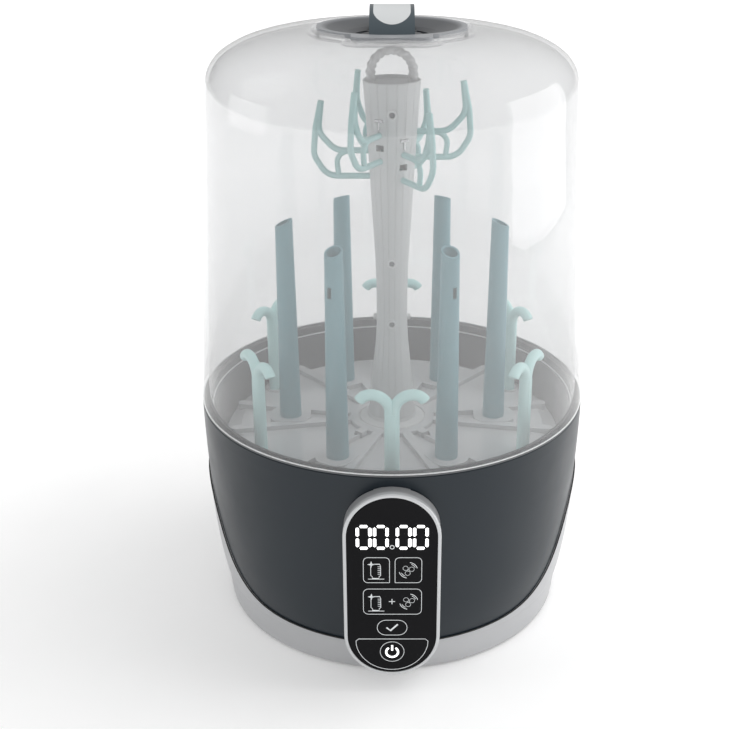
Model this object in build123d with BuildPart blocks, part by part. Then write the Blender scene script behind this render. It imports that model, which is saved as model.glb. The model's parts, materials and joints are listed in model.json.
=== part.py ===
"""Countertop bottle sterilizer and dryer: a drum-shaped base, a lift-out rack and a clear dome.

Millimetres, +Z up, the control panel faces -Y. The origin is on the table under the drum's axis.
"""

import os
from math import cos, hypot, radians, sin

from build123d import *

os.makedirs("parts", exist_ok=True)

# ---- Driving dimensions ----
HALF_DEPTH = 150.0  # panel face in front and filter cover behind
WALL = 2.4  # moulded plastic wall
GAP = 0.3  # between pieces that slide past each other
FIT = 0.1  # between pieces that plug together

# Base
FOOT_HEIGHT = 3.0
PLINTH_BOTTOM = 2.0
PLINTH_TOP = 22.0
PLINTH_BOTTOM_R = 126.0
PLINTH_TOP_R = 128.4
SHELL_BOTTOM = 24.0
SHELL_SIDE = [(128.4, SHELL_BOTTOM), (131.4, 40), (134.4, 65), (136.4, 91), (137.9, 117), (139.0, 152)]
RIM_TOP = 160.5  # the dome stands here
COLLAR_SEAT = 153.1  # the tub's collar stands here, inside the rim
CRADLE_PROUD = 0.8  # the silver cradle's thickness outside the shell

# Chamber
TUB_R = 126.0
TUB_TOP_R = 130.4
TUB_WALL = 2.0
COLLAR_INSIDE_R = 132.2
COLLAR_R = 134.3
COLLAR_STEP = 155.6
COLLAR_TOP = 162.4
TRAY_LEDGE = 126.0
TUB_LOWER_R = 119.0
TUB_FLOOR = 92.0
HEATER_HOLE_R = 56.0

# Rack
TRAY_TOP = 134.0
TRAY_R = 123.5
BAR_TOP = 137.4
PAD_TOP = 137.8
PEG_CIRCLE_R = 76.0
PEG_HIGH = 290.0
HOOK_CIRCLE_R = 107.0
HOOK_CREST = 203.8
ARM_STEP = 13.2  # every second accessory arm sits this much lower
ARM_TUBE_R = 2.1
MAST_SIDE = [
    (17.2, 141.5),
    (15.5, 161),
    (13.0, 186.5),
    (11.5, 204),
    (11.0, 225),
    (11.6, 257),
    (12.9, 280),
    (14.7, 310),
    (17.2, 353),
    (18.6, 373),
    (19.6, 385),
]
MAST_TOP = 386.2
CAP_R = 17.5
CAP_LOW = 381.6
LOOP_R = 14.3
LOOP_TUBE_R = 3.0
LOOP_TOP = 404.9  # top of the loop's centre line

# Cover
DOME_FOOT = RIM_TOP + GAP
SEAL_HEIGHT = 1.3
GLASS_FOOT = DOME_FOOT + SEAL_HEIGHT
DOME_WALL = 2.8
DOME_SIDE = [
    (139.0, GLASS_FOOT), (136.9, 192), (134.7, 237), (131.9, 281), (129.8, 323), (127.2, 363), (126.2, 380),
]
DOME_INSIDE = [(134.7, GLASS_FOOT), (132.8, 192), (130.6, 237), (128.2, 281), (126.4, 323), (124.2, 363)]
DOME_SHOULDER = [
    (126.2, 380), (123.4, 392), (117.5, 401.2), (107.0, 408.9), (83.0, 417.0), (62.0, 420.0), (46.0, 420.8),
]
DISH_R = 49.5
DISH_RIM = 421.0
TONGUE_HALF_WIDTH = 25.5
TONGUE_FRONT = 58.0
POCKET_FLOOR = 418.2
WELL_FLOOR = 415.0
WELL_R = 26.5
WELL_SLOPE = [(45.6, DISH_RIM), (30.5, WELL_FLOOR + 1.6), (WELL_R, WELL_FLOOR)]
POCKET_MARGIN = 3.7  # from the dish's edge to the pocket's wall
HANDLE_WIDTH = 29.0
HANDLE_TOP = 434.0

# Control panel, an upright stadium
PANEL_WIDTH = 63.6
PANEL_BOTTOM = 14.8
PANEL_TOP = 154.6
BEZEL_RIM = 2.2
PANEL_MIDDLE = (PANEL_BOTTOM + PANEL_TOP) / 2
PANEL_HEIGHT = PANEL_TOP - PANEL_BOTTOM

# Fan and filter
FAN_Z = 50.0
VOLUTE_R = 38.0
VOLUTE_FRONT = 72.0
VOLUTE_REAR = 102.0
SHAFT_R = 2.0
OUTLET_LOW_X, OUTLET_HIGH_X = 4.0, 38.0
FILTER_WIDTH, FILTER_HEIGHT, FILTER_Z = 84.4, 66.4, 54.0

PEG_ANGLES = range(0, 360, 60)
HOOK_ANGLES = range(30, 390, 60)


# ---- Shared shapes ----
def save(piece, name):
    """Label a finished piece and write it."""
    piece.part.label = name
    export_step(piece.part, f"parts/{name}.step")


def turn(*points, mode=Mode.ADD):
    """Revolve a closed outline of (radius, height) points about the drum's axis."""
    with BuildSketch(Plane.XZ) as outline:
        with BuildLine():
            Polyline(*points, close=True)
        make_face()
    revolve(outline.sketch, axis=Axis.Z, mode=mode)


def turn_wall(outer, thickness, mode=Mode.ADD):
    """Revolve a wall whose outside is a smooth line through the points."""
    inner = inset(outer, thickness)
    with BuildSketch(Plane.XZ) as outline:
        with BuildLine():
            outside = Spline(*outer)
            inside = Spline(*inner)
            Line(outside @ 0, inside @ 0)
            Line(outside @ 1, inside @ 1)
        make_face()
    revolve(outline.sketch, axis=Axis.Z, mode=mode)


def turn_solid(outer, mode=Mode.ADD):
    """Revolve everything between the axis and a smooth line through the points."""
    bottom, top = outer[0][1], outer[-1][1]
    with BuildSketch(Plane.XZ) as outline:
        with BuildLine():
            outside = Spline(*outer)
            Polyline(outside @ 1, (0, top), (0, bottom), outside @ 0)
        make_face()
    revolve(outline.sketch, axis=Axis.Z, mode=mode)


def inset(points, distance):
    """Shift each point of a rising outline inwards, square to the line past its neighbours."""
    moved = []
    for i, (r, z) in enumerate(points):
        r0, z0 = points[max(i - 1, 0)]
        r1, z1 = points[min(i + 1, len(points) - 1)]
        length = hypot(r1 - r0, z1 - z0)
        moved.append((r - distance * (z1 - z0) / length, z + distance * (r1 - r0) / length))
    return moved


def around(radius, degrees, z=0.0):
    """A point on a circle about the drum's axis."""
    return (radius * cos(radians(degrees)), radius * sin(radians(degrees)), z)


def radial_plane(degrees, radius=0.0, z=0.0):
    """An upright plane through the axis: local x points outwards and local y points up."""
    outward = (cos(radians(degrees)), sin(radians(degrees)), 0)
    across = (sin(radians(degrees)), -cos(radians(degrees)), 0)
    return Plane(origin=around(radius, degrees, z), x_dir=outward, z_dir=across)


def facing_plane(degrees, radius=0.0, z=0.0):
    """An upright plane that faces outwards: local x runs round the drum and local y points up."""
    outward = (cos(radians(degrees)), sin(radians(degrees)), 0)
    across = (-sin(radians(degrees)), cos(radians(degrees)), 0)
    return Plane(origin=around(radius, degrees, z), x_dir=across, z_dir=outward)


def tube(path, radius, mode=Mode.ADD):
    """Sweep a round bar along a line."""
    with BuildSketch(Plane(origin=path @ 0, z_dir=path % 0)) as section:
        Circle(radius)
    sweep(section.sketch, path=path, mode=mode)


def rod_along_y(x, z, radius, y_from, y_to, mode=Mode.ADD):
    """A round bar along the Y axis."""
    with BuildSketch(Plane.XZ.offset(-y_from)) as section:
        with Locations((x, z)):
            Circle(radius)
    extrude(section.sketch, amount=-(y_to - y_from), mode=mode)


def plate_along_y(width, height, z, y_from, y_to, corner, x=0.0, mode=Mode.ADD):
    """A rounded upright plate, thick along the Y axis."""
    with BuildSketch(Plane.XZ.offset(-y_from)) as section:
        with Locations((x, z)):
            RectangleRounded(width, height, corner)
    extrude(section.sketch, amount=-(y_to - y_from), mode=mode)


def stadium(width, height, y_from, y_to, mode=Mode.ADD):
    """The control panel's upright stadium outline, thick along the Y axis."""
    with BuildSketch(Plane.XZ.offset(-y_from)) as section:
        with Locations((0, PANEL_MIDDLE)):
            SlotOverall(height, width, rotation=90)
    extrude(section.sketch, amount=-(y_to - y_from), mode=mode)


# ---- The drum's outside, used to trim what is fixed on it ----
with BuildPart() as drum:
    turn((0, 0), (PLINTH_TOP_R + 0.1, 0), (PLINTH_TOP_R + 1.0, SHELL_BOTTOM), (0, SHELL_BOTTOM))
    turn_solid([(r + CRADLE_PROUD + 0.1, z) for r, z in SHELL_SIDE])
    rim_r = SHELL_SIDE[-1][0] + 0.1
    turn((0, 150), (rim_r, 150), (rim_r, RIM_TOP), (0, RIM_TOP))


def filter_bay():
    """Cut the bay for the filter through the rear."""
    plate_along_y(FILTER_WIDTH + 2 * GAP, FILTER_HEIGHT + 2 * GAP, FILTER_Z, 105, 160, 6, mode=Mode.SUBTRACT)


# ---- Base: outside ----
with BuildPart() as base_shell:
    inner_side = inset(SHELL_SIDE, WALL)
    with BuildSketch(Plane.XZ) as wall:
        with BuildLine():
            outside = Spline(*SHELL_SIDE)
            rim = Polyline(
                outside @ 1,
                (SHELL_SIDE[-1][0], RIM_TOP - 0.6),
                (SHELL_SIDE[-1][0] - 0.6, RIM_TOP),
                (COLLAR_R + 0.2, RIM_TOP),
                (COLLAR_R + 0.2, COLLAR_SEAT),
                (TUB_TOP_R + TUB_WALL + 0.3, COLLAR_SEAT),
                (TUB_TOP_R + TUB_WALL + 0.3, COLLAR_SEAT - 1.9),
                inner_side[-1],
            )
            inside = Spline(*inner_side)
            Line(inside @ 0, outside @ 0)
        make_face()
    revolve(wall.sketch, axis=Axis.Z)
    # Passage for the panel's wiring and bay for the filter
    plate_along_y(30, 60, PANEL_MIDDLE, -160, -120, 6, mode=Mode.SUBTRACT)
    filter_bay()
save(base_shell, "base_shell")

# The cradle's upper edge is one sweeping line in side view: low in front, high behind.
CRADLE_EDGE = [
    (-150, 21.0), (-118, 26.5), (-90, 32), (-68, 50), (-48, 82), (-28, 100), (5, 108), (60, 112), (150, 114),
]
with BuildPart() as wing_limit:
    with BuildSketch(Plane.YZ.offset(-160)) as below:
        with BuildLine():
            edge = Spline(*CRADLE_EDGE)
            Polyline(edge @ 1, (150, -5), (-150, -5), edge @ 0)
        make_face()
    extrude(below.sketch, amount=320)

with BuildPart() as silver_cradle:
    wing_inside = [(r + 0.05, z) for r, z in SHELL_SIDE if z < 150]
    wing_outside = [(r + CRADLE_PROUD - 0.05, z) for r, z in wing_inside]
    with BuildSketch(Plane.XZ) as wing:
        with BuildLine():
            outer_line = Spline(*wing_outside)
            inner_line = Spline(*wing_inside)
            Line(outer_line @ 1, inner_line @ 1)
            Line(outer_line @ 0, inner_line @ 0)
        make_face()
    revolve(wing.sketch, axis=Axis.Z)
    add(wing_limit.part, mode=Mode.INTERSECT)
    filter_bay()
save(silver_cradle, "silver_cradle")

with BuildPart() as plinth_ring:
    turn(
        (PLINTH_BOTTOM_R - WALL, PLINTH_BOTTOM),
        (PLINTH_BOTTOM_R, PLINTH_BOTTOM),
        (PLINTH_TOP_R, PLINTH_TOP),
        (SHELL_SIDE[0][0] + CRADLE_PROUD, SHELL_BOTTOM),
        (SHELL_SIDE[0][0] + 0.05, SHELL_BOTTOM),
        (SHELL_SIDE[0][0] + 0.05, SHELL_BOTTOM - 0.1),
        (SHELL_SIDE[0][0] - WALL - 1.0, SHELL_BOTTOM - 0.1),
        (SHELL_SIDE[0][0] - WALL - 1.0, PLINTH_TOP - 0.5),
        (PLINTH_BOTTOM_R - WALL, PLINTH_TOP - 2.5),
    )
    # Screw posts for the bottom plate, each on a rib from the wall
    for degrees in PEG_ANGLES:
        with BuildSketch(Plane.XY.offset(6)) as post:
            with Locations(around(112, degrees)[:2]):
                Circle(4.5)
            with Locations(around(118.5, degrees)[:2]):
                Rectangle(12, 2.4, rotation=degrees)
            with Locations(around(112, degrees)[:2]):
                Circle(1.6, mode=Mode.SUBTRACT)
        extrude(post.sketch, amount=10)
    filter_bay()
    with BuildSketch(facing_plane(120, 115, 12)) as gland_hole:
        Circle(5.6)
    extrude(gland_hole.sketch, amount=20, mode=Mode.SUBTRACT)
save(plinth_ring, "plinth_ring")

with BuildPart() as bottom_plate:
    turn((0, FOOT_HEIGHT), (123, FOOT_HEIGHT), (123, 5.6), (0, 5.6))
    with BuildSketch(Plane.XY.offset(5.6)) as stiffeners:
        with PolarLocations(60, 6, start_angle=30):
            Rectangle(84, 2)
        with Locations((-70, -10)):
            with GridLocations(60, 40, 2, 2):
                Circle(3.5)
    extrude(stiffeners.sketch, amount=6.2)
    with BuildSketch(Plane.XY.offset(FOOT_HEIGHT)) as screw_holes:
        with PolarLocations(112, 6):
            Circle(1.8)
        with PolarLocations(100, 4, start_angle=45):
            Circle(2.6)
    extrude(screw_holes.sketch, amount=10, mode=Mode.SUBTRACT)
    with BuildSketch(Plane.XY.offset(FOOT_HEIGHT)) as counterbores:
        with PolarLocations(112, 6):
            Circle(3.4)
    extrude(counterbores.sketch, amount=1.2, mode=Mode.SUBTRACT)
    # Cooling slots under the electronics
    with BuildSketch(Plane.XY.offset(FOOT_HEIGHT)) as slots:
        with Locations((55, -40)):
            with GridLocations(8, 0, 6, 1):
                SlotOverall(34, 3, rotation=90)
    extrude(slots.sketch, amount=2.6, mode=Mode.SUBTRACT)
save(bottom_plate, "bottom_plate")

with BuildPart() as rubber_feet:
    with BuildSketch() as pads:
        with PolarLocations(100, 4, start_angle=45):
            Circle(9)
    extrude(pads.sketch, amount=FOOT_HEIGHT)
    chamfer(rubber_feet.edges().group_by(Axis.Z)[0], 0.8)
    with BuildSketch(Plane.XY.offset(FOOT_HEIGHT)) as plugs:
        with PolarLocations(100, 4, start_angle=45):
            Circle(2.5)
    extrude(plugs.sketch, amount=5)
save(rubber_feet, "rubber_feet")

with BuildPart() as bottom_screws:
    with BuildSketch(Plane.XY.offset(FOOT_HEIGHT + 0.2)) as heads:
        with PolarLocations(112, 6):
            Circle(3.1)
    extrude(heads.sketch, amount=1.0)
    with BuildSketch(Plane.XY.offset(FOOT_HEIGHT + 1.2)) as shanks:
        with PolarLocations(112, 6):
            Circle(1.5)
    extrude(shanks.sketch, amount=10)
save(bottom_screws, "bottom_screws")

with BuildPart() as cord_gland:
    gland_plane = facing_plane(120, 119, 12)
    with BuildSketch(gland_plane) as sleeve:
        Circle(5.5)
    extrude(sleeve.sketch, amount=11)
    with BuildSketch(facing_plane(120, 128.6, 12)) as flange:
        Circle(7.5)
    extrude(flange.sketch, amount=2.6)
    with BuildSketch(gland_plane) as bore:
        Circle(3.6)
    extrude(bore.sketch, amount=13, mode=Mode.SUBTRACT)
save(cord_gland, "cord_gland")

# ---- Base: chamber ----
with BuildPart() as inner_tub:
    turn(
        (HEATER_HOLE_R, TUB_FLOOR - WALL),
        (TUB_LOWER_R - 4, TUB_FLOOR - WALL),
        (TUB_LOWER_R + WALL, TUB_FLOOR + 4),
        (TUB_LOWER_R + WALL + 1.5, TRAY_LEDGE - WALL),
        (TUB_R + TUB_WALL, TRAY_LEDGE - WALL),
        (TUB_TOP_R + TUB_WALL, COLLAR_SEAT),
        (COLLAR_R, COLLAR_SEAT),
        (COLLAR_R, COLLAR_TOP - 0.5),
        (COLLAR_R - 0.5, COLLAR_TOP),
        (COLLAR_INSIDE_R + 0.4, COLLAR_TOP),
        (COLLAR_INSIDE_R, COLLAR_TOP - 0.4),
        (COLLAR_INSIDE_R, COLLAR_STEP),
        (TUB_TOP_R + 0.4, COLLAR_STEP),
        (TUB_TOP_R, COLLAR_STEP - 0.6),
        (TUB_R, TRAY_LEDGE),
        (TUB_LOWER_R + 1.5, TRAY_LEDGE),
        (TUB_LOWER_R, TUB_FLOOR + 5),
        (TUB_LOWER_R - 5, TUB_FLOOR),
        (HEATER_HOLE_R, TUB_FLOOR),
    )
    # Warm air comes up through the floor behind the heating plate
    with BuildSketch(Plane.XY.offset(TUB_FLOOR - WALL)) as air_hole:
        with Locations(((OUTLET_LOW_X + OUTLET_HIGH_X) / 2, 87)):
            Rectangle(30, 24)
    extrude(air_hole.sketch, amount=WALL, mode=Mode.SUBTRACT)
save(inner_tub, "inner_tub")

with BuildPart() as plate_seal:
    turn((57, TUB_FLOOR), (60, TUB_FLOOR), (60, TUB_FLOOR + 0.8), (57, TUB_FLOOR + 0.8))
save(plate_seal, "plate_seal")

with BuildPart() as heating_plate:
    low = TUB_FLOOR + 0.8
    turn((0, low), (60, low), (62, low + 2), (61.2, low + 2.4), (59.4, low + 1), (0, low + 1))
save(heating_plate, "heating_plate")

with BuildPart() as heater_block:
    turn((0, 85), (50, 85), (52, 87), (52, TUB_FLOOR + 0.8), (0, TUB_FLOOR + 0.8))
save(heater_block, "heater_block")

with BuildPart() as heater_coil:
    with BuildSketch(Plane.XZ) as ring:
        with Locations((40, 82)):
            Circle(3)
    revolve(ring.sketch, axis=Axis.Z, revolution_arc=320)
    with BuildSketch(Plane.XY.offset(66)) as terminals:
        with Locations(around(40, 0)[:2], around(40, 320)[:2]):
            Circle(2)
    extrude(terminals.sketch, amount=16)
save(heater_coil, "heater_coil")

with BuildPart() as thermal_cutouts:
    turn((0, 76), (9, 76), (9, 83.4), (6, 85), (0, 85))
    rod_along_y(-20, 82.4, 2.4, -8, 8)
    rod_along_y(-20, 82.4, 0.6, -18, 18)
save(thermal_cutouts, "thermal_cutouts")

# ---- Base: warm-air system ----
with BuildPart() as blower_housing:
    rod_along_y(0, FAN_Z, VOLUTE_R, VOLUTE_FRONT, VOLUTE_REAR)
    outlet_middle = (OUTLET_LOW_X + OUTLET_HIGH_X) / 2
    outlet_width = OUTLET_HIGH_X - OUTLET_LOW_X
    outlet_top = TUB_FLOOR - WALL
    outlet_z = (FAN_Z + outlet_top) / 2
    plate_along_y(
        outlet_width, outlet_top - FAN_Z, outlet_z, VOLUTE_FRONT, VOLUTE_REAR, 0.5, x=outlet_middle
    )
    rod_along_y(0, FAN_Z, VOLUTE_R - 2, VOLUTE_FRONT + 2, VOLUTE_REAR - 2, mode=Mode.SUBTRACT)
    with BuildSketch(Plane.XY.offset(FAN_Z)) as duct:
        with Locations((outlet_middle, (VOLUTE_FRONT + VOLUTE_REAR) / 2)):
            Rectangle(outlet_width - 4, VOLUTE_REAR - VOLUTE_FRONT - 4)
    extrude(duct.sketch, amount=outlet_top - FAN_Z + 1, mode=Mode.SUBTRACT)
    rod_along_y(0, FAN_Z, 24, VOLUTE_REAR - 3, VOLUTE_REAR + 1, mode=Mode.SUBTRACT)
    rod_along_y(0, FAN_Z, 6, VOLUTE_FRONT - 1, VOLUTE_FRONT + 3, mode=Mode.SUBTRACT)
    with BuildSketch(Plane.XZ.offset(-VOLUTE_FRONT)) as screw_holes:
        with Locations((0, FAN_Z)):
            with PolarLocations(12, 3):
                Circle(1.6)
    extrude(screw_holes.sketch, amount=-2, mode=Mode.SUBTRACT)
save(blower_housing, "blower_housing")

with BuildPart() as fan_motor:
    rod_along_y(0, FAN_Z, 17, VOLUTE_FRONT - 26, VOLUTE_FRONT)
    rod_along_y(0, FAN_Z, SHAFT_R, VOLUTE_FRONT - 30, VOLUTE_FRONT + 22)
    with BuildSketch(Plane.XZ.offset(-VOLUTE_FRONT)) as tapped:
        with Locations((0, FAN_Z)):
            with PolarLocations(12, 3):
                Circle(1.3)
    extrude(tapped.sketch, amount=6, mode=Mode.SUBTRACT)
save(fan_motor, "fan_motor")

with BuildPart() as motor_screws:
    head = (2.4, VOLUTE_FRONT + 2, VOLUTE_FRONT + 3.6)
    shank = (1.2, VOLUTE_FRONT - 5, VOLUTE_FRONT + 2)
    for radius, y_from, y_to in (head, shank):
        with BuildSketch(Plane.XZ.offset(-y_from)) as section:
            with Locations((0, FAN_Z)):
                with PolarLocations(12, 3):
                    Circle(radius)
        extrude(section.sketch, amount=-(y_to - y_from))
save(motor_screws, "motor_screws")

with BuildPart() as fan_impeller:
    BLADES = 28
    disc_front = VOLUTE_FRONT + 6
    rod_along_y(0, FAN_Z, 31, disc_front, disc_front + 1.6)
    rod_along_y(0, FAN_Z, 6, disc_front, disc_front + 14)
    with BuildSketch(Plane.XZ.offset(-disc_front - 1.6)) as blades:
        with Locations((0, FAN_Z)):
            with PolarLocations(27.5, BLADES):
                Rectangle(6, 1.1, rotation=25)
    extrude(blades.sketch, amount=-14)
    with BuildSketch(Plane.XZ.offset(-disc_front - 15.6)) as hoop:
        with Locations((0, FAN_Z)):
            Circle(31)
            Circle(24.6, mode=Mode.SUBTRACT)
    extrude(hoop.sketch, amount=-1.4)
    rod_along_y(0, FAN_Z, SHAFT_R + 0.05, disc_front - 1, disc_front + 15, mode=Mode.SUBTRACT)
save(fan_impeller, "fan_impeller")

with BuildPart() as air_heater:
    with BuildSketch(Plane.XY.offset(81.6)) as element:
        with Locations((outlet_middle, (VOLUTE_FRONT + VOLUTE_REAR) / 2)):
            Rectangle(29.6, 25.6)
            with GridLocations(0, 4.6, 1, 5):
                Rectangle(26, 2.6, mode=Mode.SUBTRACT)
    extrude(element.sketch, amount=7.6)
save(air_heater, "air_heater")

with BuildPart() as outlet_grille:
    with BuildSketch(Plane.XY.offset(TUB_FLOOR)) as chimney:
        with Locations((outlet_middle, 87)):
            RectangleRounded(38, 32, 4)
    extrude(chimney.sketch, amount=16)
    with BuildSketch(Plane.XY.offset(TUB_FLOOR)) as bore:
        with Locations((outlet_middle, 87)):
            Rectangle(30, 24)
    extrude(bore.sketch, amount=14, mode=Mode.SUBTRACT)
    with BuildSketch(Plane.XZ.offset(-60)) as louvres:
        with Locations((outlet_middle, TUB_FLOOR + 7.5)):
            with GridLocations(0, 4, 1, 3):
                Rectangle(26, 2)
    extrude(louvres.sketch, amount=-20, mode=Mode.SUBTRACT)
save(outlet_grille, "outlet_grille")

with BuildPart() as rear_housing:
    plate_along_y(FILTER_WIDTH + 9, FILTER_HEIGHT + 9, FILTER_Z, 108, HALF_DEPTH - 1.4, 9)
    add(drum.part, mode=Mode.SUBTRACT)
    plate_along_y(FILTER_WIDTH + 2 * GAP, FILTER_HEIGHT + 2 * GAP, FILTER_Z, 105, 160, 6, mode=Mode.SUBTRACT)
save(rear_housing, "rear_housing")

with BuildPart() as filter_cover:
    plate_along_y(FILTER_WIDTH, FILTER_HEIGHT, FILTER_Z, 110, HALF_DEPTH, 5.7)
    plate_along_y(FILTER_WIDTH - 4, FILTER_HEIGHT - 4, FILTER_Z, 109, HALF_DEPTH - 3, 4, mode=Mode.SUBTRACT)
    with BuildSketch(Plane.XZ.offset(-HALF_DEPTH + 4)) as grille:
        with Locations((0, FILTER_Z + 3)):
            with GridLocations(0, 5.4, 1, 9):
                SlotOverall(66, 2.6)
    extrude(grille.sketch, amount=-5, mode=Mode.SUBTRACT)
    # Finger scoop along the lower edge
    finger_z = FILTER_Z - FILTER_HEIGHT / 2 + 5.2
    plate_along_y(24, 5, finger_z, HALF_DEPTH - 1.6, HALF_DEPTH + 1, 2.4, mode=Mode.SUBTRACT)
save(filter_cover, "filter_cover")

with BuildPart() as filter_cartridge:
    plate_along_y(FILTER_WIDTH - 4.4, FILTER_HEIGHT - 4.4, FILTER_Z, 116, 140, 4.2)
    for face_y in (116, 137):
        with BuildSketch(Plane.XZ.offset(-face_y)) as pleats:
            with Locations((0, FILTER_Z)):
                with GridLocations(5, 0, 14, 1):
                    Rectangle(2.4, FILTER_HEIGHT - 12)
        extrude(pleats.sketch, amount=-3, mode=Mode.SUBTRACT)
save(filter_cartridge, "filter_cartridge")

# ---- Base: electronics ----
with BuildPart() as power_board:
    with BuildSketch(Plane.XY.offset(11.8)) as board:
        with Locations((-70, -10)):
            RectangleRounded(70, 50, 2)
    extrude(board.sketch, amount=1.6)
save(power_board, "power_board")

with BuildPart() as board_parts:
    board_top = 13.4
    for x, y, width, depth, height in ((-88, -20, 24, 20, 18), (-60, -22, 18, 14, 15), (-52, 4, 12, 16, 12)):
        with BuildSketch(Plane.XY.offset(board_top)) as block:
            with Locations((x, y)):
                Rectangle(width, depth)
        extrude(block.sketch, amount=height)
    with BuildSketch(Plane.XY.offset(board_top)) as cans:
        with Locations((-92, 4), (-78, 4)):
            Circle(5)
    extrude(cans.sketch, amount=16)
save(board_parts, "board_parts")

PANEL_FRONT = -HALF_DEPTH
with BuildPart() as panel_pod:
    stadium(PANEL_WIDTH - 0.6, PANEL_HEIGHT - 0.6, PANEL_FRONT + 4, -112)
    inner_width = PANEL_WIDTH - 0.6 - 2 * WALL
    inner_height = PANEL_HEIGHT - 0.6 - 2 * WALL
    stadium(inner_width, inner_height, PANEL_FRONT + 3, -112, mode=Mode.SUBTRACT)
    stadium(PANEL_WIDTH - 0.6, PANEL_HEIGHT - 0.6, PANEL_FRONT + 10, PANEL_FRONT + 12)
    plate_along_y(26, 56, PANEL_MIDDLE, PANEL_FRONT + 9, PANEL_FRONT + 13, 5, mode=Mode.SUBTRACT)
    add(drum.part, mode=Mode.SUBTRACT)
save(panel_pod, "panel_pod")

with BuildPart() as panel_bezel:
    stadium(PANEL_WIDTH, PANEL_HEIGHT, PANEL_FRONT, PANEL_FRONT + 4)
    fillet(panel_bezel.edges().group_by(Axis.Y)[0], 1.0)
    window_width = PANEL_WIDTH - 2 * BEZEL_RIM
    window_height = PANEL_HEIGHT - 2 * BEZEL_RIM
    stadium(window_width, window_height, PANEL_FRONT - 1, PANEL_FRONT + 5, mode=Mode.SUBTRACT)
save(panel_bezel, "panel_bezel")

with BuildPart() as panel_glass:
    stadium(window_width - 0.2, window_height - 0.2, PANEL_FRONT + 0.5, PANEL_FRONT + 3)
save(panel_glass, "panel_glass")

with BuildPart() as display_board:
    stadium(50, 124, PANEL_FRONT + 7.6, PANEL_FRONT + 9.2)
save(display_board, "display_board")

with BuildPart() as led_display:
    plate_along_y(46, 17, 127.5, PANEL_FRONT + 3.4, PANEL_FRONT + 7.6, 1)
save(led_display, "led_display")

with BuildPart() as touch_springs:
    for x, z in ((-11.5, 101), (11.5, 101), (0, 82), (0, 67), (0, 45)):
        rod_along_y(x, z, 5, PANEL_FRONT + 3.2, PANEL_FRONT + 7.6)
        rod_along_y(x, z, 4, PANEL_FRONT + 3, PANEL_FRONT + 8, mode=Mode.SUBTRACT)
save(touch_springs, "touch_springs")

# ---- Rack: tray and mast ----
BAR_SPREAD = 10.5  # each peg stands between two bars this many degrees to its sides
BAR_WIDTH = 7.0
with BuildPart() as tray:
    turn(
        (20, TRAY_TOP - WALL),
        (112, TRAY_TOP - WALL),
        (TRAY_R - WALL, 127.5),
        (TRAY_R - WALL, TRAY_LEDGE + GAP),
        (TRAY_R, TRAY_LEDGE + GAP),
        (TRAY_R, 129.5),
        (TRAY_R - 0.8, 130.3),
        (112.5, TRAY_TOP),
        (20, TRAY_TOP),
    )
    for degrees in PEG_ANGLES:
        for bar_degrees in (degrees - BAR_SPREAD, degrees + BAR_SPREAD):
            with BuildSketch(Plane.XY.offset(TRAY_TOP - 2)) as bar:
                with Locations(around(75, bar_degrees)[:2]):
                    SlotOverall(90, BAR_WIDTH, rotation=bar_degrees)
            extrude(bar.sketch, amount=BAR_TOP - TRAY_TOP + 2)
    with BuildSketch(Plane.XY.offset(TRAY_TOP - 2)) as pads:
        with PolarLocations(PEG_CIRCLE_R, 6):
            RectangleRounded(30, 26, 9)
    extrude(pads.sketch, amount=PAD_TOP - TRAY_TOP + 2)
    turn(
        (24.4, TRAY_TOP - 1),
        (31.5, TRAY_TOP - 1),
        (31.5, BAR_TOP - 0.6),
        (30.9, BAR_TOP),
        (24.8, BAR_TOP),
        (24.4, BAR_TOP - 0.4),
    )
    with BuildSketch(Plane.XY.offset(TRAY_TOP - 2)) as hook_pads:
        with PolarLocations(HOOK_CIRCLE_R, 6, start_angle=30):
            Circle(7)
    extrude(hook_pads.sketch, amount=3)
    # Sockets for the pegs and hooks
    with BuildSketch(Plane.XY.offset(120)) as sockets:
        with PolarLocations(PEG_CIRCLE_R, 6):
            Circle(4 + FIT)
        with PolarLocations(HOOK_CIRCLE_R, 6, start_angle=30):
            Circle(3 + FIT)
    extrude(sockets.sketch, amount=30, mode=Mode.SUBTRACT)
    # Steam slots at the ends of the side sectors, near the hub
    for degrees in (9, 51, 129, 171, 189, 231, 309, 351):
        with BuildSketch(Plane.XY.offset(120)) as slot:
            with Locations(around(40, degrees)[:2]):
                RegularPolygon(4.6, 3, rotation=degrees)
        extrude(slot.sketch, amount=30, mode=Mode.SUBTRACT)
save(tray, "tray")

with BuildPart() as mast_foot:
    turn(
        (16.0, TRAY_TOP - 4),
        (19.9, TRAY_TOP - 4),
        (19.9, TRAY_TOP),
        (24.2, TRAY_TOP),
        (24.2, PAD_TOP - 0.8),
        (23.4, PAD_TOP),
        (18.4, PAD_TOP + 1.4),
        (17.6, PAD_TOP + 3.4),
        (16.0, PAD_TOP + 3.4),
    )
save(mast_foot, "mast_foot")

SCREW_HEIGHTS = (214.4, 260.3, 365.5)
SCREW_SEAT = 3.0  # depth of the screw heads' seats
SCREW_HEAD_R = 1.9
BOSS_R = 3.6
BOSS_PROUD = 0.5
EAR_Z, EAR_REACH = 216.5, 13.4
UPPER_ROOT, LOWER_ROOT, SQUARE_HOLE, T_SLOT = 351.3, 333.6, 342.6, 359.4


def arm_drop(degrees):
    """How far an accessory arm sits below the highest ones."""
    return ARM_STEP if degrees % 120 else 0.0


def mast_radius(height):
    """The mast's outside radius at a height, straight between its outline's points."""
    for (low_r, low_z), (high_r, high_z) in zip(MAST_SIDE, MAST_SIDE[1:]):
        if low_z <= height <= high_z:
            return low_r + (high_r - low_r) * (height - low_z) / (high_z - low_z)
    return MAST_SIDE[-1][0]


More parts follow.
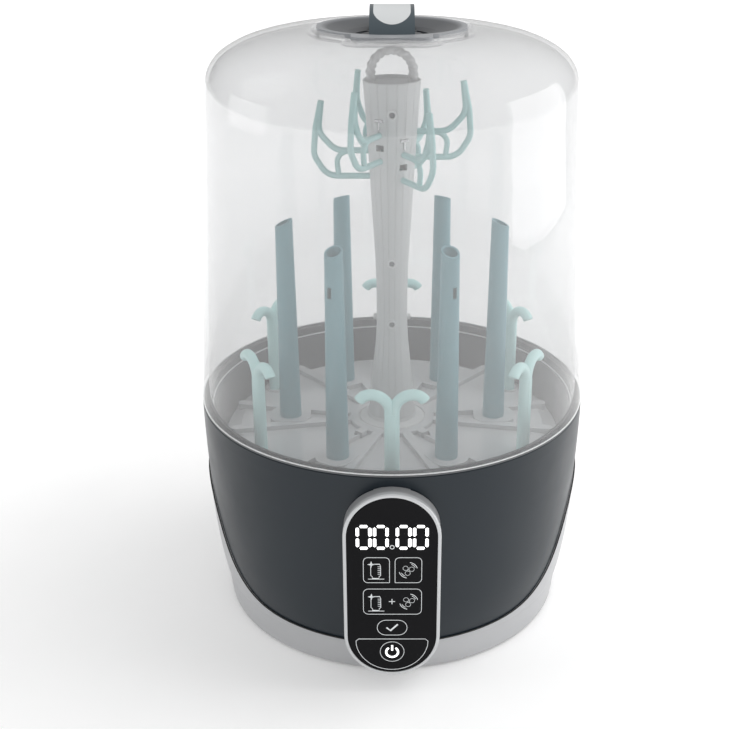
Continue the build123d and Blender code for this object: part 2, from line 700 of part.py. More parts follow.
with BuildPart() as mast_body:
    turn((13.6, TRAY_TOP - 4), (15.9, TRAY_TOP - 4), (15.9, PAD_TOP + 3.5), (13.6, PAD_TOP + 3.5))
    turn((13.6, PAD_TOP + 3.5), (17.2, PAD_TOP + 3.5), (15.0, PAD_TOP + 6), (13.6, PAD_TOP + 6))
    turn_wall(MAST_SIDE, 2.0)
    turn((17.6, 384.9), (19.6, 384.9), (19.4, MAST_TOP - 0.3), (18.9, MAST_TOP), (17.6, MAST_TOP))
    turn((0, CAP_LOW - 0.2), (CAP_R + 0.1, CAP_LOW - 0.2), (CAP_R + 0.1, MAST_TOP), (0, MAST_TOP), mode=Mode.SUBTRACT)
    # Ears where the halves meet, just above the lowest screw
    with BuildSketch(Plane.YZ.offset(-EAR_REACH)) as ears:
        with Locations((0, EAR_Z)):
            Circle(2.3)
    extrude(ears.sketch, amount=2 * EAR_REACH)
    turn((0, EAR_Z - 3), (8.6, EAR_Z - 3), (8.6, EAR_Z + 3), (0, EAR_Z + 3), mode=Mode.SUBTRACT)
    for height in SCREW_HEIGHTS:
        reach = mast_radius(height)
        rod_along_y(0, height, BOSS_R, -reach - BOSS_PROUD, reach - 1.2)
    for degrees in PEG_ANGLES:
        drop = arm_drop(degrees)
        with BuildSketch(facing_plane(degrees, 8, 0)) as openings:
            with Locations((0, UPPER_ROOT - drop), (0, LOWER_ROOT - drop)):
                Circle(ARM_TUBE_R + FIT)
            with Locations((0, SQUARE_HOLE - drop)):
                Rectangle(6.0, 4.4)
            with Locations((0, T_SLOT - 1.0 - drop)):
                Rectangle(1.8, 7.0)
            with Locations((0, T_SLOT + 1.8 - drop)):
                Rectangle(6.6, 2.2)
        extrude(openings.sketch, amount=14, mode=Mode.SUBTRACT)
    for height in SCREW_HEIGHTS:
        seat = SCREW_SEAT - mast_radius(height)
        rod_along_y(0, height, 1.3, seat, -seat, mode=Mode.SUBTRACT)
        rod_along_y(0, height, SCREW_HEAD_R + 0.1, -22, seat, mode=Mode.SUBTRACT)

with BuildPart() as mast_front:
    add(mast_body.part)
    split(bisect_by=Plane.XZ, keep=Keep.TOP)
save(mast_front, "mast_front")

with BuildPart() as mast_rear:
    add(mast_body.part)
    split(bisect_by=Plane.XZ, keep=Keep.BOTTOM)
save(mast_rear, "mast_rear")

with BuildPart() as mast_screws:
    for height in SCREW_HEIGHTS:
        seat = SCREW_SEAT - mast_radius(height)
        rod_along_y(0, height, SCREW_HEAD_R, seat - 1.6, seat)
        rod_along_y(0, height, 1.2, seat, -seat - 1)
save(mast_screws, "mast_screws")

with BuildPart() as mast_cap:
    turn((0, CAP_LOW), (CAP_R, CAP_LOW), (CAP_R, 384.2), (0, 384.2))
    with BuildSketch(Plane.XY.offset(381)) as leg_holes:
        with GridLocations(2 * LOOP_R, 0, 2, 1):
            Circle(LOOP_TUBE_R + FIT)
    extrude(leg_holes.sketch, amount=4, mode=Mode.SUBTRACT)
save(mast_cap, "mast_cap")

with BuildPart() as carry_loop:
    with BuildLine(Plane.XZ) as loop_line:
        shoulder_z = LOOP_TOP - LOOP_R
        Line((-LOOP_R, CAP_LOW), (-LOOP_R, shoulder_z))
        ThreePointArc((-LOOP_R, shoulder_z), (0, LOOP_TOP), (LOOP_R, shoulder_z))
        Line((LOOP_R, shoulder_z), (LOOP_R, CAP_LOW))
    tube(loop_line.line, LOOP_TUBE_R)
save(carry_loop, "carry_loop")

# ---- Rack: bottle pegs, teat hooks and accessory arms ----
for number, degrees in enumerate(PEG_ANGLES, start=1):
    with BuildPart() as bottle_peg:
        stand = Plane(origin=around(PEG_CIRCLE_R, degrees, PAD_TOP))
        with BuildSketch(stand) as outside:
            Circle(8.0)
        extrude(outside.sketch, amount=PEG_HIGH - PAD_TOP, taper=0.7)
        with BuildSketch(stand.offset(6)) as inside:
            Circle(6.2)
        extrude(inside.sketch, amount=PEG_HIGH - PAD_TOP, taper=0.6, mode=Mode.SUBTRACT)
        with BuildSketch(stand.offset(-7)) as spigot:
            Circle(4)
        extrude(spigot.sketch, amount=7)
        # The mouth slopes down away from the mast
        slope = Plane(
            origin=around(PEG_CIRCLE_R, degrees, PEG_HIGH - 3),
            x_dir=around(1, degrees + 90),
            z_dir=around(1, degrees, 2.2),
        )
        split(bisect_by=slope, keep=Keep.BOTTOM)
        with BuildSketch(facing_plane(degrees, PEG_CIRCLE_R, 260.2)) as slot:
            Rectangle(3.0, 8.0)
        extrude(slot.sketch, amount=12, mode=Mode.SUBTRACT)
    save(bottle_peg, f"bottle_peg_{number}")

for number, degrees in enumerate(HOOK_ANGLES, start=1):
    with BuildPart() as teat_hook:
        face = facing_plane(degrees, HOOK_CIRCLE_R)
        for side in (-1, 1):
            with BuildLine(face) as prong:
                stem = Line((side * 1.3, TRAY_TOP + 1), (side * 1.3, HOOK_CREST - 12.5))
                bend = ThreePointArc(
                    stem @ 1,
                    (side * (1.3 + 12.5 * (1 - cos(radians(45)))), HOOK_CREST - 12.5 + 12.5 * sin(radians(45))),
                    (side * 13.8, HOOK_CREST),
                )
                ThreePointArc(
                    bend @ 1,
                    (side * (13.8 + 9 * sin(radians(28))), HOOK_CREST - 9 * (1 - cos(radians(28)))),
                    (side * (13.8 + 9 * sin(radians(56))), HOOK_CREST - 9 * (1 - cos(radians(56)))),
                )
            tube(prong.line, 3.7)
        stem_base = Plane(origin=around(HOOK_CIRCLE_R, degrees, TRAY_TOP + 1), x_dir=around(1, degrees))
        with BuildSketch(stem_base) as stem_core:
            RectangleRounded(7.8, 5.4, 0.6)
        extrude(stem_core.sketch, amount=HOOK_CREST - 14 - TRAY_TOP)
        with BuildSketch(Plane(origin=around(HOOK_CIRCLE_R, degrees, TRAY_TOP - 6))) as spigot:
            Circle(3)
        extrude(spigot.sketch, amount=8)
    save(teat_hook, f"teat_hook_{number}")

for number, degrees in enumerate(PEG_ANGLES, start=1):
    drop = arm_drop(degrees)
    with BuildPart() as accessory_arm:
        upright = radial_plane(degrees, 0, -drop)
        with BuildLine(upright) as outer_branch:
            FilletPolyline((13, LOWER_ROOT), (44.5, LOWER_ROOT), (53.6, 348), (52, 366), (47.8, 385), radius=13)
        tube(outer_branch.line, ARM_TUBE_R)
        with BuildLine(upright) as inner_branch:
            FilletPolyline((13, UPPER_ROOT), (38.5, UPPER_ROOT), (50.2, 364), (47.8, 385), radius=13)
        tube(inner_branch.line, ARM_TUBE_R)
        with BuildLine(upright) as brace:
            FilletPolyline((25, UPPER_ROOT), (38.5, UPPER_ROOT - 1.5), (36.5, LOWER_ROOT), radius=8)
        tube(brace.line, ARM_TUBE_R * 0.9)
    save(accessory_arm, f"accessory_arm_{number}")


# ---- Cover ----
def dish_outline(margin, low, height, mode=Mode.ADD):
    """The vent dish's outline, a circle with a tongue in front, grown by a margin and extruded."""
    with BuildSketch(Plane.XY.offset(low)) as outline:
        Circle(DISH_R + margin)
        with Locations((0, -(TONGUE_FRONT + margin) / 2)):
            RectangleRounded(2 * (TONGUE_HALF_WIDTH + margin), TONGUE_FRONT + margin, 8 + margin)
    extrude(outline.sketch, amount=height, mode=mode)


with BuildPart() as dome_cavity:
    turn((0, 150), (DOME_INSIDE[0][0], 150), DOME_INSIDE[0], (0, GLASS_FOOT))
    turn_solid(DOME_INSIDE + inset(DOME_SHOULDER, DOME_WALL))
    dish_outline(POCKET_MARGIN + 2.2, POCKET_FLOOR - 2.4, 30, mode=Mode.SUBTRACT)

with BuildPart() as dome_cover:
    turn_solid(DOME_SIDE + DOME_SHOULDER[1:])
    add(dome_cavity.part, mode=Mode.SUBTRACT)
    dish_outline(POCKET_MARGIN, POCKET_FLOOR, 30, mode=Mode.SUBTRACT)
    turn((0, 400), (46.2, 400), (46.2, 440), (0, 440), mode=Mode.SUBTRACT)
save(dome_cover, "dome_cover")

with BuildPart() as foot_seal:
    outer_r = DOME_SIDE[0][0]
    inner_r = DOME_INSIDE[0][0]
    turn((inner_r, DOME_FOOT), (outer_r, DOME_FOOT), (outer_r, GLASS_FOOT), (inner_r, GLASS_FOOT))
save(foot_seal, "foot_seal")

with BuildPart() as vent_dish:
    dish_outline(0, POCKET_FLOOR, DISH_RIM - POCKET_FLOOR)
    turn((0, 400), (45.5, 400), (45.5, 440), (0, 440), mode=Mode.SUBTRACT)
    turn(
        (0, WELL_FLOOR - 2),
        (WELL_R + 0.6, WELL_FLOOR - 2),
        (31, WELL_FLOOR - 0.4),
        (45.6, POCKET_FLOOR),
        *WELL_SLOPE,
        (0, WELL_FLOOR),
    )
    # Crescent vents on both sides of the well
    for side in (0, 180):
        with BuildSketch(Plane.XY.offset(405)) as vent:
            with BuildLine():
                outer_arc = CenterArc((0, 0), 25, side - 48, 96)
                inner_arc = CenterArc((0, 0), 20.5, side - 44, 88)
                Line(outer_arc @ 0, inner_arc @ 0)
                Line(outer_arc @ 1, inner_arc @ 1)
            make_face()
        extrude(vent.sketch, amount=10, mode=Mode.SUBTRACT)
save(vent_dish, "vent_dish")

with BuildPart() as inlay_band:
    with BuildSketch(Plane.YZ.offset(-20)) as band:
        with BuildLine():
            upper = ThreePointArc((-37, 414), (0, HANDLE_TOP), (37, 414))
            lower = ThreePointArc((-36, 413.2), (0, HANDLE_TOP - 1.0), (36, 413.2))
            Line(upper @ 0, lower @ 0)
            Line(upper @ 1, lower @ 1)
        make_face()
    extrude(band.sketch, amount=40)
    with BuildSketch(Plane.XY.offset(400)) as patch:
        SlotOverall(54, 24, rotation=90)
    extrude(patch.sketch, amount=50, mode=Mode.INTERSECT)

with BuildPart() as lid_handle:
    with BuildSketch(Plane.YZ.offset(-HANDLE_WIDTH / 2)) as strap:
        with BuildLine():
            upper = ThreePointArc((-37, 414), (0, HANDLE_TOP), (37, 414))
            lower = ThreePointArc((-32, 414), (0, HANDLE_TOP - 4.2), (32, 414))
            Line(upper @ 0, lower @ 0)
            Line(upper @ 1, lower @ 1)
        make_face()
    extrude(strap.sketch, amount=HANDLE_WIDTH)
    add(inlay_band.part, mode=Mode.SUBTRACT)
    turn((0, 400), (45.6, 400), *WELL_SLOPE, (0, WELL_FLOOR), mode=Mode.SUBTRACT)
save(lid_handle, "lid_handle")

with BuildPart() as handle_inlay:
    add(inlay_band.part)
save(handle_inlay, "handle_inlay")
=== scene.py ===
"""Looks of the bottle sterilizer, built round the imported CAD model. Metres, +Z up, the panel faces -Y."""

import json
from math import cos, hypot, pi, radians, sin

import bmesh
import bpy
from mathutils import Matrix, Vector
from mathutils.bvhtree import BVHTree


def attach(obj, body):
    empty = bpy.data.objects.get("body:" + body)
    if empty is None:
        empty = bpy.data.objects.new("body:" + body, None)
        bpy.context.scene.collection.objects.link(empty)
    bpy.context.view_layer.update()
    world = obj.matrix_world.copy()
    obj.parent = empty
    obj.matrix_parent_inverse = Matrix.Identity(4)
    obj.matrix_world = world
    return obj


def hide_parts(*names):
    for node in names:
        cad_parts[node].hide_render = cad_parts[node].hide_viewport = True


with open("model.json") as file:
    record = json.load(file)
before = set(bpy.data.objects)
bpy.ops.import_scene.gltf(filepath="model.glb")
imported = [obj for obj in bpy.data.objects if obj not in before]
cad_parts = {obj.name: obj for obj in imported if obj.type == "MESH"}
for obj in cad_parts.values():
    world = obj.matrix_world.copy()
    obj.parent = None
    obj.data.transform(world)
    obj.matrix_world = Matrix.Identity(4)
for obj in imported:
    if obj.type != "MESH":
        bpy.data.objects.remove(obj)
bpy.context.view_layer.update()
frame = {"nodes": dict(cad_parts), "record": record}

MM = 0.001
SCENE = bpy.context.scene

# The camera stands on the YZ plane, in metres, and looks down by this many degrees
CAMERA_PLACE = (0, -0.789, 0.524)
CAMERA_DOWN = 23.66
FLOOR_HALF = 6.0


# ---- Camera, light and floor ----
def make_camera():
    """A view from the front, 23.7 degrees down, with the object's axis a little right of the middle."""
    data = bpy.data.cameras.new("camera")
    data.sensor_width = 36.0
    data.lens = 57.63
    data.shift_x = -0.0377
    camera = bpy.data.objects.new("camera", data)
    SCENE.collection.objects.link(camera)
    camera.location = CAMERA_PLACE
    camera.rotation_euler = (radians(90 - CAMERA_DOWN), 0, 0)
    SCENE.camera = camera


def area_light(name, location, target, width, height, power, colour=(1, 1, 1)):
    data = bpy.data.lights.new(name, "AREA")
    data.shape = "RECTANGLE"
    data.size = width
    data.size_y = height
    data.energy = power
    data.color = colour
    light = bpy.data.objects.new(name, data)
    SCENE.collection.objects.link(light)
    light.location = location
    direction = Vector(target) - Vector(location)
    light.rotation_euler = direction.to_track_quat("-Z", "Y").to_euler()
    return light


def make_studio():
    """White surroundings, brighter on the right, with a softbox at each side and one overhead."""
    world = bpy.data.worlds.new("studio")
    world.use_nodes = True
    tree = world.node_tree
    seen = tree.nodes["Background"]
    seen.inputs["Color"].default_value = (1, 1, 1, 1)
    room = tree.nodes.new("ShaderNodeBackground")
    place = tree.nodes.new("ShaderNodeTexCoord")
    split = tree.nodes.new("ShaderNodeSeparateXYZ")
    side = tree.nodes.new("ShaderNodeMapRange")
    side.inputs["From Min"].default_value = -1
    side.inputs["To Min"].default_value = 0.22
    side.inputs["To Max"].default_value = 0.75
    above = tree.nodes.new("ShaderNodeMath")
    above.operation = "MULTIPLY_ADD"
    above.use_clamp = True
    above.inputs[1].default_value = 0.45
    fill = tree.nodes.new("ShaderNodeBackground")
    fill.inputs["Strength"].default_value = 1.1
    path = tree.nodes.new("ShaderNodeLightPath")
    lighting = tree.nodes.new("ShaderNodeMixShader")
    mix = tree.nodes.new("ShaderNodeMixShader")
    tree.links.new(place.outputs["Generated"], split.inputs["Vector"])
    tree.links.new(split.outputs["X"], side.inputs["Value"])
    tree.links.new(split.outputs["Z"], above.inputs[0])
    tree.links.new(side.outputs["Result"], above.inputs[2])
    tree.links.new(above.outputs[0], room.inputs["Strength"])
    tree.links.new(path.outputs["Is Camera Ray"], mix.inputs["Fac"])
    tree.links.new(path.outputs["Is Diffuse Ray"], lighting.inputs["Fac"])
    tree.links.new(room.outputs["Background"], lighting.inputs[1])
    tree.links.new(fill.outputs["Background"], lighting.inputs[2])
    tree.links.new(lighting.outputs["Shader"], mix.inputs[1])
    tree.links.new(seen.outputs["Background"], mix.inputs[2])
    tree.links.new(mix.outputs["Shader"], tree.nodes["World Output"].inputs["Surface"])
    SCENE.world = world
    SCENE.view_settings.view_transform = "Standard"
    area_light("softbox_right", (1.2, 0.1, 0.42), (0, 0.1, 0.42), 1.1, 0.8, 4.4)
    area_light("softbox_left", (-1.2, 0, 0.4), (0, 0, 0.4), 0.68, 0.4, 0.8)
    overhead = area_light("softbox_top", (0.75, 0.1, 1.45), (0, 0, 0.1), 0.9, 0.9, 8)
    overhead.visible_glossy = False
    bm = bmesh.new()
    bmesh.ops.create_grid(bm, x_segments=2, y_segments=2, size=FLOOR_HALF)
    mesh = bpy.data.meshes.new("floor")
    bm.to_mesh(mesh)
    bm.free()
    floor = bpy.data.objects.new("floor", mesh)
    SCENE.collection.objects.link(floor)
    paint = moulded("floor_paint", (0.82, 0.82, 0.82), 0.8, mottling=0.01, grain=40, depth=0.0)
    nodes, links = paint.node_tree.nodes, paint.node_tree.links
    nodes["Principled BSDF"].inputs["Emission Color"].default_value = (1, 1, 1, 1)
    here = nodes.new("ShaderNodeTexCoord")
    distance = nodes.new("ShaderNodeVectorMath")
    distance.operation = "LENGTH"
    glow = nodes.new("ShaderNodeMapRange")
    glow.inputs["From Min"].default_value = 0.3
    glow.inputs["From Max"].default_value = 1.3
    glow.inputs["To Min"].default_value = 0.17
    glow.inputs["To Max"].default_value = 0.5
    links.new(here.outputs["Object"], distance.inputs[0])
    links.new(distance.outputs["Value"], glow.inputs["Value"])
    links.new(glow.outputs["Result"], nodes["Principled BSDF"].inputs["Emission Strength"])
    mesh.materials.append(paint)


# ---- Materials ----
def shader_nodes(name):
    """A new material with its node tree and its Principled shader."""
    material = bpy.data.materials.new(name)
    material.use_nodes = True
    tree = material.node_tree
    return material, tree, tree.nodes["Principled BSDF"]


def noise(tree, scale, detail=3.0, stretch=(1, 1, 1)):
    """Noise that is fixed to the object, with its cells per metre given by scale."""
    place = tree.nodes.new("ShaderNodeTexCoord")
    mapping = tree.nodes.new("ShaderNodeMapping")
    mapping.inputs["Scale"].default_value = stretch
    texture = tree.nodes.new("ShaderNodeTexNoise")
    texture.inputs["Scale"].default_value = scale
    texture.inputs["Detail"].default_value = detail
    tree.links.new(place.outputs["Object"], mapping.inputs["Vector"])
    tree.links.new(mapping.outputs["Vector"], texture.inputs["Vector"])
    return texture.outputs["Fac"]


def between(tree, factor, low, high):
    """A number that runs from low to high as factor runs from 0.3 to 0.7."""
    ramp = tree.nodes.new("ShaderNodeMapRange")
    ramp.inputs["From Min"].default_value = 0.3
    ramp.inputs["From Max"].default_value = 0.7
    ramp.inputs["To Min"].default_value = low
    ramp.inputs["To Max"].default_value = high
    tree.links.new(factor, ramp.inputs["Value"])
    return ramp.outputs["Result"]


def blend_colours(tree, factor, first, second):
    mix = tree.nodes.new("ShaderNodeMix")
    mix.data_type = "RGBA"
    mix.inputs["A"].default_value = (*first, 1)
    mix.inputs["B"].default_value = (*second, 1)
    tree.links.new(factor, mix.inputs["Factor"])
    return mix.outputs["Result"]


def bump(tree, shader, height, depth, strength=1.0):
    node = tree.nodes.new("ShaderNodeBump")
    node.inputs["Distance"].default_value = depth
    node.inputs["Strength"].default_value = strength
    tree.links.new(height, node.inputs["Height"])
    tree.links.new(node.outputs["Normal"], shader.inputs["Normal"])


def moulded(
    name,
    colour,
    roughness,
    mottling=0.05,
    grain=1500,
    depth=0.00002,
    metallic=0.0,
    coat=0.0,
    sheen=0.0,
    gloss=0.5,
):
    """Moulded plastic or lacquer: slight cloudiness, uneven gloss and a fine surface grain."""
    material, tree, shader = shader_nodes(name)
    cloud = noise(tree, 9, 4)
    darker = tuple(c * (1 - mottling) for c in colour)
    lighter = tuple(min(c * (1 + mottling), 1) for c in colour)
    cloudy = blend_colours(tree, between(tree, cloud, 0, 1), darker, lighter)
    tree.links.new(cloudy, shader.inputs["Base Color"])
    fine = noise(tree, grain, 2)
    smear = noise(tree, 35, 3)
    tree.links.new(between(tree, smear, roughness * 0.88, roughness * 1.12), shader.inputs["Roughness"])
    if depth:
        bump(tree, shader, fine, depth)
    shader.inputs["Metallic"].default_value = metallic
    shader.inputs["Coat Weight"].default_value = coat
    shader.inputs["Coat Roughness"].default_value = 0.08
    shader.inputs["Sheen Weight"].default_value = sheen
    shader.inputs["Specular IOR Level"].default_value = gloss
    return material


def brushed(name, colour, roughness, stretch=(1, 1, 40)):
    """Brushed metal with fine parallel scratches."""
    material, tree, shader = shader_nodes(name)
    lines = noise(tree, 90, 6, stretch)
    darker = tuple(c * 0.8 for c in colour)
    tree.links.new(blend_colours(tree, lines, darker, colour), shader.inputs["Base Color"])
    tree.links.new(between(tree, lines, roughness * 0.7, roughness * 1.3), shader.inputs["Roughness"])
    bump(tree, shader, lines, 0.00003)
    shader.inputs["Metallic"].default_value = 1.0
    return material


def clear(name, tint, gloss_roughness=0.025, veil=0.04, haze=0.105):
    """Clear polished plastic with a faint haze, which mirrors more towards its edges."""
    material, tree, shader = shader_nodes(name)
    output = tree.nodes["Material Output"]
    tree.nodes.remove(shader)
    through = tree.nodes.new("ShaderNodeBsdfTransparent")
    cloud = noise(tree, 6, 3)
    dim = tuple(c * 0.985 for c in tint)
    tree.links.new(blend_colours(tree, between(tree, cloud, 0, 1), dim, tint), through.inputs["Color"])
    gloss = tree.nodes.new("ShaderNodeBsdfGlossy")
    gloss.inputs["Color"].default_value = (1, 1, 1, 1)
    smear = noise(tree, 20, 4)
    uneven = between(tree, smear, gloss_roughness * 0.6, gloss_roughness * 1.4)
    tree.links.new(uneven, gloss.inputs["Roughness"])
    edge = tree.nodes.new("ShaderNodeLayerWeight")
    edge.inputs["Blend"].default_value = 0.5
    power = tree.nodes.new("ShaderNodeMath")
    power.operation = "POWER"
    power.inputs[1].default_value = 5.0
    scaled = tree.nodes.new("ShaderNodeMath")
    scaled.operation = "MULTIPLY_ADD"
    scaled.inputs[1].default_value = 0.8
    scaled.inputs[2].default_value = veil
    mix = tree.nodes.new("ShaderNodeMixShader")
    tree.links.new(edge.outputs["Facing"], power.inputs[0])
    tree.links.new(power.outputs[0], scaled.inputs[0])
    tree.links.new(scaled.outputs[0], mix.inputs["Fac"])
    milky = tree.nodes.new("ShaderNodeBsdfDiffuse")
    milky.inputs["Color"].default_value = (0.93, 0.93, 0.935, 1)
    body = tree.nodes.new("ShaderNodeMixShader")
    tree.links.new(between(tree, noise(tree, 12, 3), haze * 0.94, haze * 1.06), body.inputs["Fac"])
    tree.links.new(through.outputs[0], body.inputs[1])
    tree.links.new(milky.outputs[0], body.inputs[2])
    tree.links.new(body.outputs[0], mix.inputs[1])
    tree.links.new(gloss.outputs[0], mix.inputs[2])
    tree.links.new(mix.outputs[0], output.inputs["Surface"])
    return material


def lit(name, colour, strength):
    """A lit indicator with a slightly uneven glow. On the white print this glow is painted light."""
    material, tree, shader = shader_nodes(name)
    glow = noise(tree, 400, 2)
    dimmer = tuple(c * 0.9 for c in colour)
    tree.links.new(blend_colours(tree, glow, dimmer, colour), shader.inputs["Emission Color"])
    shader.inputs["Base Color"].default_value = (*colour, 1)
    shader.inputs["Emission Strength"].default_value = strength
    shader.inputs["Roughness"].default_value = 0.5
    return material


def circuit(name):
    """A lacquered board with copper tracks under green resist."""
    material, tree, shader = shader_nodes(name)
    place = tree.nodes.new("ShaderNodeTexCoord")
    brick = tree.nodes.new("ShaderNodeTexBrick")
    brick.inputs["Scale"].default_value = 160
    brick.inputs["Mortar Size"].default_value = 0.012
    brick.inputs["Color1"].default_value = (0.02, 0.13, 0.05, 1)
    brick.inputs["Color2"].default_value = (0.02, 0.16, 0.06, 1)
    brick.inputs["Mortar"].default_value = (0.05, 0.26, 0.10, 1)
    tree.links.new(place.outputs["Object"], brick.inputs["Vector"])
    tree.links.new(brick.outputs["Color"], shader.inputs["Base Color"])
    bump(tree, shader, brick.outputs["Fac"], 0.00003)
    shader.inputs["Roughness"].default_value = 0.35
    return material


def fluted(name, colour, roughness, lines):
    """The mast's plastic: smooth, with fine upright lines that part its flat facets; the lines are bumped in
    and painted darker as shade along the facet edges.
    """
    material = moulded(name, colour, roughness)
    tree = material.node_tree
    shader = tree.nodes["Principled BSDF"]
    place = tree.nodes.new("ShaderNodeTexCoord")
    angle = tree.nodes.new("ShaderNodeTexGradient")
    angle.gradient_type = "RADIAL"
    repeat = tree.nodes.new("ShaderNodeMath")
    repeat.operation = "PINGPONG"
    repeat.inputs[1].default_value = 0.5 / lines
    edge = tree.nodes.new("ShaderNodeMapRange")
    edge.inputs["From Max"].default_value = 0.05 / lines
    tree.links.new(place.outputs["Object"], angle.inputs["Vector"])
    tree.links.new(angle.outputs["Fac"], repeat.inputs[0])
    tree.links.new(repeat.outputs[0], edge.inputs["Value"])
    # Painted shade: the lines are coloured darker where the facets meet
    crease_shade_colour = tuple(c * 0.84 for c in colour)
    shade_lined = blend_colours(tree, edge.outputs["Result"], crease_shade_colour, colour)
    tree.links.new(shade_lined, shader.inputs["Base Color"])
    bump(tree, shader, edge.outputs["Result"], 0.0003)
    return material


def dished(name, rim_colour, well_shade_colour, rim_radius):
    """The vent dish: one colour on its rim and a darker one down its slope, which is painted shade in the
    dish's hollow.
    """
    material = moulded(name, rim_colour, 0.34, coat=0.2)
    tree = material.node_tree
    place = tree.nodes.new("ShaderNodeTexCoord")
    flat = tree.nodes.new("ShaderNodeMapping")
    flat.inputs["Scale"].default_value = (1, 1, 0)
    distance = tree.nodes.new("ShaderNodeVectorMath")
    distance.operation = "LENGTH"
    edge = tree.nodes.new("ShaderNodeMapRange")
    edge.inputs["From Min"].default_value = rim_radius - 0.005
    edge.inputs["From Max"].default_value = rim_radius
    tree.links.new(place.outputs["Object"], flat.inputs["Vector"])
    tree.links.new(flat.outputs["Vector"], distance.inputs[0])
    tree.links.new(distance.outputs["Value"], edge.inputs["Value"])
    # Painted shade: inside the rim the dish darkens towards its hollow
    colour = blend_colours(tree, edge.outputs["Result"], well_shade_colour, rim_colour)
    tree.links.new(colour, tree.nodes["Principled BSDF"].inputs["Base Color"])
    return material


MATERIALS = {
    "shell_plastic": moulded(
        "anthracite_shell", (0.006, 0.0125, 0.019), 0.33, grain=2200, depth=0.000006, gloss=0.42
    ),
    "silver_plastic": moulded(
        "silver_lacquer", (0.50, 0.505, 0.515), 0.36, mottling=0.02, grain=3200, depth=0.000004, metallic=0.6
    ),
    "dark_plastic": moulded("textured_black", (0.045, 0.05, 0.055), 0.55, grain=1400, depth=0.00004),
    "tub_plastic": moulded("tub_grey", (0.06, 0.063, 0.067), 0.38, coat=0.2),
    "grey_plastic": moulded("rack_grey", (0.60, 0.605, 0.605), 0.42),
    "peg_plastic": moulded("peg_teal", (0.14, 0.315, 0.355), 0.40, coat=0.1),
    "mint_plastic": moulded("mint", (0.56, 0.84, 0.82), 0.38, coat=0.1),
    "clear_plastic": clear("clear_dome", (0.922, 0.923, 0.925)),
    "dish_plastic": moulded("dish_grey", (0.16, 0.17, 0.182), 0.36, coat=0.2),
    "handle_plastic": moulded("handle_navy", (0.030, 0.048, 0.060), 0.32, coat=0.3),
    "inlay_plastic": moulded("inlay_grey", (0.55, 0.565, 0.57), 0.45, grain=2600),
    "black_glass": moulded("black_panel", (0.005, 0.005, 0.006), 0.12, mottling=0.2, depth=0.0, gloss=0.1),
    "rubber": moulded("black_rubber_and_shade_line", (0.03, 0.03, 0.03), 0.75, grain=900, depth=0.00006, sheen=0.1),
    # Real white silicone, also used for the painted highlight rings and the screw collars
    "silicone": moulded("white_silicone_and_glints", (0.72, 0.73, 0.73), 0.5, grain=900),
    "stainless": brushed("brushed_plate", (0.62, 0.62, 0.62), 0.3, (60, 1, 1)),
    "steel": brushed("plain_steel", (0.45, 0.45, 0.46), 0.35),
    "cast_aluminium": moulded(
        "cast_aluminium", (0.55, 0.56, 0.57), 0.5, grain=700, depth=0.0001, metallic=1.0
    ),
    "circuit_board": circuit("circuit_board"),
    "filter_fleece": moulded("filter_fleece", (0.75, 0.75, 0.72), 0.9, grain=1800, depth=0.0002, sheen=0.3),
}
TRAY = moulded("tray_gloss", (0.52, 0.53, 0.535), 0.13, coat=0.6, depth=0.0)
ARM = moulded("arm_mint", (0.40, 0.63, 0.62), 0.40, coat=0.1)
# Painted shade: the screw heads are coloured dark for the shade in their recesses
SCREW_PAINTED_SHADE = moulded("screw_painted_shade", (0.16, 0.165, 0.17), 0.35, metallic=0.8)
SEAL = moulded("dark_seal", (0.10, 0.105, 0.11), 0.5, grain=900)
BEZEL = moulded("bezel_lacquer", (0.58, 0.59, 0.60), 0.36, mottling=0.03, grain=3200, metallic=0.45)
CHROME = moulded("bright_clip", (0.62, 0.63, 0.64), 0.18, metallic=1.0)
# White print with a faint glow of its own: the print is real, the glow is painted light
PRINT_WITH_PAINTED_GLOW = lit("white_print_painted_glow", (0.62, 0.64, 0.65), 0.25)
GLOW = lit("digit_glow", (1.0, 1.0, 1.0), 1.6)
MAST = fluted("mast_grey", (0.62, 0.63, 0.63), 0.42, 18)
# The dark second colour is painted shade in the dish's hollow
DISH = dished("vent_dish_grey", (0.27, 0.28, 0.295), (0.040, 0.045, 0.052), 0.0475)
SPECIAL = {
    "tray": TRAY,
    "mast_front": MAST,
    "mast_rear": MAST,
    "mast_screws": SCREW_PAINTED_SHADE,
    "panel_bezel": BEZEL,
    "vent_dish": DISH,
    "foot_seal": SEAL,
}


def paint_nodes():
    """Give every CAD node the finish of its slot, or its own where the photo shows one."""
    for part in frame["record"]["subparts"]:
        node = frame["nodes"][part["node"]]
        node.data.materials.clear()
        finish = SPECIAL.get(part["node"], MATERIALS[part["material_slot"]])
        if part["node"].startswith("accessory_arm"):
            finish = ARM
        node.data.materials.append(finish)


# ---- Pieces that the CAD model leaves plain, drawn in millimetres ----
PANEL_FACE = -149.5
CLIP_R = 17.0  # from the axis to the clips, close to the mast's outside
WHOLE_WING = 0.6  # a little less than the thickness of the silver wings
ABOVE_WINGS = 125
OUTSIDE = 200  # farther from the axis than any piece
SCREW_HEIGHTS = (214.4, 260.3, 365.5)


def node_surface(name):
    """A CAD node's surface, for finding where it lies."""
    mesh = frame["nodes"][name].data
    place = frame["nodes"][name].matrix_world
    corners = [place @ vert.co for vert in mesh.vertices]
    return BVHTree.FromPolygons(corners, [tuple(face.vertices) for face in mesh.polygons])


def outside_radius(surface, degrees, height):
    """How far from the axis the surface lies at this angle and height, or None where it is open."""
    outward = Vector((cos(radians(degrees)), sin(radians(degrees)), 0))
    start = outward * OUTSIDE * MM + Vector((0, 0, height * MM))
    hit = surface.ray_cast(start, -outward, OUTSIDE * MM)[0]
    return hypot(hit.x, hit.y) / MM if hit else None


